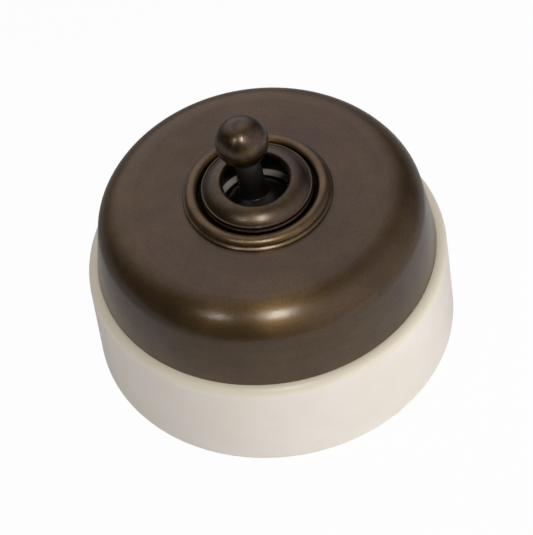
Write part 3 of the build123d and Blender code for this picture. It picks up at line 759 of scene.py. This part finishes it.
class SWITCH_OT_liner(Operator):
    """Turns the satin black liner of the opening"""

    bl_idname = "switch.liner"
    bl_label = "Opening liner"

    def execute(self, context):
        low = LINER_LOW.z
        lip_z = low + LINER_LIP_T
        rim_z = LINER_HIGH.z
        outer = BUSH_BORE - LINER_PLAY
        cove_x = LINER_BORE - LINER_COVE
        edge_x = cove_x + LINER_COVE * sin(LINER_SLOPE)
        edge_z = lip_z + (edge_x - LINER_LIP) * tan(LINER_SLOPE)
        cove_z = edge_z + LINER_COVE * cos(LINER_SLOPE)
        bm = bmesh.new()
        first = start(bm, LINER_LIP, low)
        last = path(bm, first, [
            (outer, low), (outer, BUSH_HIGH.z), (LINER_HIGH.x, BUSH_HIGH.z), (LINER_HIGH.x, rim_z),
            (LINER_BORE, rim_z), (LINER_BORE, cove_z)])
        last = arc(bm, last, (cove_x, cove_z), LINER_SLOPE - pi / 2, steps=12)
        last = run(bm, last, LINER_LIP, lip_z)
        close(bm, last, first)
        turn(bm, SMALL_STEPS, edge_round=0.06 * MM)
        # Painted light: a pale band on the cove's far side
        lit_band = (lip_z + LINER_LIT_BAND_START, edge_z)
        black = black_moulding("satin_black_liner", roughness=0.34, lit_band=lit_band)
        lay(bm, "black_liner", "housing", "bush_liner", black)
        return {"FINISHED"}


KNOB_RADIUS = 5.25 * MM
NECK_TOP = 2.5 * MM
NECK_WAIST = 2.6 * MM
NECK_BASE = 3.1 * MM
NECK_STEPS = 16
STUD = 1.29 * MM
STUD_GRIP = 3.2 * MM
SHIELD = 8.75 * MM
SHIELD_T = 1.2 * MM
SHIELD_ANGLE = radians(66)
STEM = 2.9 * MM
SPRING_SEAT = 3.6 * MM
SPIGOT = 1.45 * MM
SPIGOT_REACH = 5.2 * MM
HUB = 3.4 * MM
HUB_W = 10.0 * MM
PIN_BORE = 1.24 * MM


def lean():
    """The dolly's lean at rest and the reach of its ball from the pivot."""
    ball_y = (KNOB_LOW.y + KNOB_HIGH.y) / 2 - PIVOT.y
    ball_z = KNOB_HIGH.z - KNOB_RADIUS - PIVOT.z
    return atan2(ball_y, ball_z), sqrt(ball_y ** 2 + ball_z ** 2)


def dolly_place():
    """From the upright dolly with its pivot at the origin to where it rests."""
    return Matrix.Translation(PIVOT) @ Matrix.Rotation(-lean()[0], 4, "X")


def knob_seat():
    """Height over the pivot at which the ball meets the neck."""
    return lean()[1] - sqrt(KNOB_RADIUS ** 2 - NECK_TOP ** 2)


def neck_run(bm, vert, top, base):
    """The neck: nearly straight below the ball, then a flare like a trumpet on to the shield."""
    waist_z = (top + base) / 2
    vert = run(bm, vert, NECK_WAIST, waist_z)
    for i in range(1, NECK_STEPS + 1):
        share = i / NECK_STEPS
        radius = NECK_WAIST + (NECK_BASE - NECK_WAIST) * share ** 3
        vert = run(bm, vert, radius, waist_z + (base - waist_z) * share)
    return vert


class SWITCH_OT_lever(Operator):
    """Turns the black lever with its shield, and adds its hub"""

    bl_idname = "switch.lever"
    bl_label = "Dolly lever"

    def execute(self, context):
        inner = SHIELD - SHIELD_T
        rim_in = SHIELD * sin(SHIELD_ANGLE) - SHIELD_T
        rim_in_z = sqrt(inner ** 2 - rim_in ** 2)
        base_z = sqrt(SHIELD ** 2 - NECK_BASE ** 2)
        seat = knob_seat()
        bm = bmesh.new()
        last = start(bm, 0, seat)
        last = run(bm, last, NECK_TOP, seat)
        last = neck_run(bm, last, seat, base_z)
        last = arc(bm, last, (0, 0), pi / 2 - SHIELD_ANGLE - atan2(base_z, NECK_BASE), steps=24)
        last = run(bm, last, rim_in, rim_in_z)
        last = arc(bm, last, (0, 0), acos(STEM / inner) - atan2(rim_in_z, rim_in), steps=16)
        path(bm, last, [
            (STEM, -SPRING_SEAT), (SPIGOT, -SPRING_SEAT), (SPIGOT, -SPIGOT_REACH), (0, -SPIGOT_REACH)])
        turn(bm, SMALL_STEPS, edge_round=0.10 * MM, sharp=radians(40))
        black = black_moulding("black_dolly_moulding", roughness=0.36)
        place = dolly_place()
        piece = lay(bm, "black_dolly_lever", "dolly", "dolly_lever", black, place)
        along_x = place @ Matrix.Rotation(pi / 2, 4, "Y")
        combine(piece, cylinder(HUB, -HUB_W / 2, HUB_W / 2, along_x), "UNION")
        combine(piece, cylinder(PIN_BORE, -HUB_W, HUB_W, along_x), "DIFFERENCE")
        combine(piece, cylinder(STUD, seat - STUD_GRIP, seat + STUD_GRIP, place), "DIFFERENCE")
        return {"FINISHED"}


class SWITCH_OT_knob(Operator):
    """Turns the bronze ball of the dolly"""

    bl_idname = "switch.knob"
    bl_label = "Ball knob"

    def execute(self, context):
        reach = lean()[1]
        seat = knob_seat()
        bm = bmesh.new()
        last = start(bm, 0, reach + KNOB_RADIUS)
        last = arc(bm, last, (0, reach), -(pi / 2 + acos(NECK_TOP / KNOB_RADIUS)), steps=56)
        path(bm, last, [(STUD, seat), (STUD, seat + STUD_GRIP), (0, seat + STUD_GRIP)])
        turn(bm, SMALL_STEPS, edge_round=0.06 * MM, sharp=radians(40))
        bronze = antique_bronze(
            "antique_bronze_knob", roughness=0.40, lacquer_roughness=0.22, rubbed=1.3, mottle=300.0)
        lay(bm, "bronze_ball_knob", "dolly", "dolly_knob", bronze, dolly_place())
        return {"FINISHED"}


class SWITCH_OT_works(Operator):
    """Finishes the works under the cover"""

    bl_idname = "switch.works"
    bl_label = "Inner works"

    def execute(self, context):
        finish = {
            "brass": bare_metal("turned_brass", "#C9A55C", roughness=0.28, grain_scale=900.0),
            "steel": bare_metal("zinc_plated_steel", "#B9BBBD", roughness=0.34, grain_scale=700.0),
            "silver": bare_metal("contact_silver", "#D6D4CE", roughness=0.22, grain_scale=1200.0),
            "black_moulding": black_moulding("black_switch_block", roughness=0.30),
            "fibre": vulcanised_fibre(),
        }
        slot_of = {row["node"]: row["material_slot"] for row in frame["record"]["subparts"]}
        for name, obj in frame["nodes"].items():
            if obj.hide_render or slot_of[name] not in finish:
                continue
            obj.data.materials.clear()
            obj.data.materials.append(finish[slot_of[name]])
        return {"FINISHED"}


# Studio

CAMERA_TURN = radians(-21.0)
CAMERA_RISE = radians(51.5)
CAMERA_ROLL = radians(-8.84)
CAMERA_REACH = 0.7
CAMERA_CLIP = 0.01
FOCAL_PX = 3437.0
PICTURE_PX = 535
SENSOR = 36.0
AIM_RIGHT = -2.12 * MM
AIM_UP = 9.85 * MM

# Soft areas of the room: where they lie (towards the camera, to its right, up), angles in degrees
# from their middle at which they are full and gone, brightness
ROOM_LIGHTS = (
    ((-1.0, -0.2, 0.9), 20, 58, 0.52),
    ((0.45, 1.0, 0.25), 10, 64, 0.36),
    ((0.85, 0.6, 0.85), 4, 32, 0.20),
)
ROOM_TINT = (1.0, 0.96, 1.07, 1)
PURE_WHITE = (1, 1, 1, 1)

# Lamps look at this height on the switch's axis
LAMP_AIM = Vector((0, 0, 0.03))

# Strip lamps make the highlights: the way to them along the camera's axes, width, height, watts
STRIP_REACH = 0.9
STRIP_LAMPS = (
    ("lamp_by_camera", (1.0, 0.0, 0.10), 0.06, 0.26, 1.75),
    ("lamp_left", (0.88, -0.48, 0.02), 0.04, 0.18, 0.44),
)

# Fill lamps light what is matt and are not mirrored: towards the camera, to its right, watts
FILL_REACH = 1.0
FILL_RISE = 0.2
FILL_SIZE = 0.6
FILL_LAMPS = (
    ("fill_right", 0.7, 0.9, 9.0),
    ("fill_left", 0.5, -1.0, 4.65),
    ("fill_back", -1.0, 0.0, 3.5),
)

FLOOR_REACH = 1.5
FLOOR_Z = -0.02 * MM


def camera_axes():
    """Directions to the camera, to its right and up, with its roll."""
    level = cos(CAMERA_RISE)
    back = Vector((sin(CAMERA_TURN) * level, -cos(CAMERA_TURN) * level, sin(CAMERA_RISE)))
    right = Vector((cos(CAMERA_TURN), sin(CAMERA_TURN), 0))
    up = back.cross(right)
    rolled_right = right * cos(CAMERA_ROLL) + up * sin(CAMERA_ROLL)
    rolled_up = up * cos(CAMERA_ROLL) - right * sin(CAMERA_ROLL)
    return back, rolled_right, rolled_up


def place_looking(obj, place, side, above, back):
    """Stands a camera or lamp at the place; it looks against back."""
    turned = Matrix((side, above, back)).transposed().to_4x4()
    obj.matrix_world = Matrix.Translation(place) @ turned
    bpy.context.scene.collection.objects.link(obj)


def area_light(name, toward, distance, width, height, watts, reflected=True):
    """A soft lamp that looks at the middle of the switch; its width lies level."""
    data = bpy.data.lights.new(name, "AREA")
    data.shape = "RECTANGLE"
    data.size = width
    data.size_y = height
    data.energy = watts
    lamp = bpy.data.objects.new(name, data)
    lamp.visible_glossy = reflected
    toward = toward.normalized()
    level = Vector((-toward.y, toward.x, 0)).normalized()
    place_looking(lamp, toward * distance + LAMP_AIM, level, toward.cross(level), toward)


def whiteness(tree, seen, mirrored):
    """Share of plain white: seen by the camera and through glass, mirrored in reflections."""
    ray = node(tree, "ShaderNodeLightPath")
    direct = node(tree, "ShaderNodeMath", {
        0: ray.outputs["Is Camera Ray"], 1: ray.outputs["Is Transmission Ray"]}, operation="MAXIMUM")
    plain = node(tree, "ShaderNodeMath", {0: direct.outputs["Value"], 1: seen}, operation="MULTIPLY")
    mirror = node(tree, "ShaderNodeMath", {
        0: ray.outputs["Is Glossy Ray"], 1: mirrored}, operation="MULTIPLY")
    share = node(tree, "ShaderNodeMath", {
        0: plain.outputs["Value"], 1: mirror.outputs["Value"]}, operation="MAXIMUM")
    return share.outputs["Value"]


class SWITCH_OT_stage(Operator):
    """Sets the floor, the light and the camera"""

    bl_idname = "switch.stage"
    bl_label = "Studio"

    def execute(self, context):
        scene = bpy.context.scene
        scene.view_settings.view_transform = "Standard"
        self.camera(scene)
        self.world(scene)
        self.floor(scene)
        self.lamps()
        return {"FINISHED"}

    def camera(self, scene):
        back, right, up = camera_axes()
        place = back * CAMERA_REACH
        centre = right * AIM_RIGHT + up * AIM_UP
        look = (place - centre).normalized()
        data = bpy.data.cameras.new("camera")
        data.sensor_width = SENSOR
        data.lens = FOCAL_PX * SENSOR / PICTURE_PX
        data.clip_start = CAMERA_CLIP
        camera = bpy.data.objects.new("camera", data)
        side = up.cross(look).normalized()
        place_looking(camera, place, side, look.cross(side), look)
        scene.camera = camera

    def lamps(self):
        back, right, up = camera_axes()
        for name, (to_back, to_right, to_up), width, height, watts in STRIP_LAMPS:
            toward = back * to_back + right * to_right + up * to_up
            area_light(name, toward, STRIP_REACH, width, height, watts)
        front = Vector((back.x, back.y, 0)).normalized()
        side = Vector((right.x, right.y, 0))
        for name, to_front, to_side, watts in FILL_LAMPS:
            toward = front * to_front + side * to_side + Vector((0, 0, FILL_RISE))
            area_light(name, toward, FILL_REACH, FILL_SIZE, FILL_SIZE, watts, reflected=False)

    def world(self, scene):
        """A dark room with three soft bright areas, seen as plain white by the camera."""
        world = bpy.data.worlds.new("room")
        world.use_nodes = True
        tree = world.node_tree
        tree.nodes.clear()
        out = node(tree, "ShaderNodeOutputWorld")
        where = node(tree, "ShaderNodeTexCoord").outputs["Generated"]
        back = camera_axes()[0]
        front = Vector((back.x, back.y, 0)).normalized()
        side = Vector((-front.y, front.x, 0))
        total = 0.0
        for (to_front, to_side, rise), full, gone, brightness in ROOM_LIGHTS:
            aim = (front * to_front + side * to_side + Vector((0, 0, rise))).normalized()
            facing = node(tree, "ShaderNodeVectorMath", {0: where, 1: aim}, operation="DOT_PRODUCT")
            area = node(tree, "ShaderNodeMapRange", {
                "Value": facing.outputs["Value"], "From Min": cos(radians(gone)),
                "From Max": cos(radians(full)), "To Max": brightness}, interpolation_type="SMOOTHSTEP")
            total = node(tree, "ShaderNodeMath", {
                0: total, 1: area.outputs["Result"]}, operation="ADD").outputs["Value"]
        lit = node(tree, "ShaderNodeBackground", {"Color": ROOM_TINT, "Strength": total})
        white = node(tree, "ShaderNodeBackground", {"Color": PURE_WHITE, "Strength": 1.0})
        seen = node(tree, "ShaderNodeMixShader", {
            0: whiteness(tree, 1.0, 0.02), 1: lit.outputs["Background"], 2: white.outputs["Background"]})
        tree.links.new(seen.outputs["Shader"], out.inputs["Surface"])
        scene.world = world

    def floor(self, scene):
        """A white floor that keeps the switch's shadow and mirrors dimly in the pieces."""
        bm = bmesh.new()
        bmesh.ops.create_grid(bm, x_segments=1, y_segments=1, size=FLOOR_REACH)
        bmesh.ops.translate(bm, verts=bm.verts[:], vec=(0, 0, FLOOR_Z))
        mesh = bpy.data.meshes.new("floor")
        bm.to_mesh(mesh)
        bm.free()
        floor = bpy.data.objects.new("floor", mesh)
        scene.collection.objects.link(floor)
        made = bpy.data.materials.new("white_sweep")
        made.use_nodes = True
        tree = made.node_tree
        tree.nodes.clear()
        out = node(tree, "ShaderNodeOutputMaterial")
        # Dimmer away from the window on the right, and behind the switch
        where = node(tree, "ShaderNodeTexCoord").outputs["Object"]
        back, right, _ = camera_axes()
        across = node(tree, "ShaderNodeVectorMath", {0: where, 1: right}, operation="DOT_PRODUCT")
        side_tone = node(tree, "ShaderNodeMapRange", {
            "Value": across.outputs["Value"], "From Min": -0.09, "From Max": 0.02,
            "To Min": 0.28, "To Max": 0.55})
        depth = node(tree, "ShaderNodeVectorMath", {0: where, 1: back}, operation="DOT_PRODUCT")
        depth_tone = node(tree, "ShaderNodeMapRange", {
            "Value": depth.outputs["Value"], "From Min": -0.07, "From Max": -0.02, "To Min": 0.22})
        tone = node(tree, "ShaderNodeMath", {
            0: side_tone.outputs["Result"], 1: depth_tone.outputs["Result"]}, operation="MULTIPLY")
        paper = node(tree, "ShaderNodeBsdfDiffuse", {"Color": tone.outputs["Value"]})
        white = node(tree, "ShaderNodeEmission", {"Color": PURE_WHITE, "Strength": 1.0})
        seen = node(tree, "ShaderNodeMixShader", {
            0: whiteness(tree, 0.975, 0.05), 1: paper.outputs["BSDF"], 2: white.outputs["Emission"]})
        tree.links.new(seen.outputs["Shader"], out.inputs["Surface"])
        mesh.materials.append(made)


class SWITCH_PT_panel(Panel):
    """Sizes, colours and steps of the switch"""

    bl_label = "Porcelain switch"
    bl_idname = "SWITCH_PT_panel"
    bl_space_type = "VIEW_3D"
    bl_region_type = "UI"
    bl_category = "Switch"

    def draw(self, context):
        for group in (context.scene.switch_sizes, context.scene.switch_colours):
            for name in group.__annotations__:
                self.layout.prop(group, name)
        for step in STEPS:
            self.layout.operator(step.bl_idname)


STEPS = (
    SWITCH_OT_base, SWITCH_OT_cover, SWITCH_OT_trim, SWITCH_OT_collar, SWITCH_OT_liner, SWITCH_OT_lever,
    SWITCH_OT_knob, SWITCH_OT_works, SWITCH_OT_stage)
CLASSES = (SwitchSizes, SwitchColours, *STEPS, SWITCH_PT_panel)


def register():
    for cls in CLASSES:
        bpy.utils.register_class(cls)
    bpy.types.Scene.switch_sizes = PointerProperty(type=SwitchSizes)
    bpy.types.Scene.switch_colours = PointerProperty(type=SwitchColours)


def unregister():
    del bpy.types.Scene.switch_colours
    del bpy.types.Scene.switch_sizes
    for cls in reversed(CLASSES):
        bpy.utils.unregister_class(cls)


def main():
    register()
    bpy.ops.switch.base()
    bpy.ops.switch.cover()
    bpy.ops.switch.trim()
    bpy.ops.switch.collar()
    bpy.ops.switch.liner()
    bpy.ops.switch.lever()
    bpy.ops.switch.knob()
    bpy.ops.switch.works()
    bpy.ops.switch.stage()


if __name__ == "__main__":
    main()
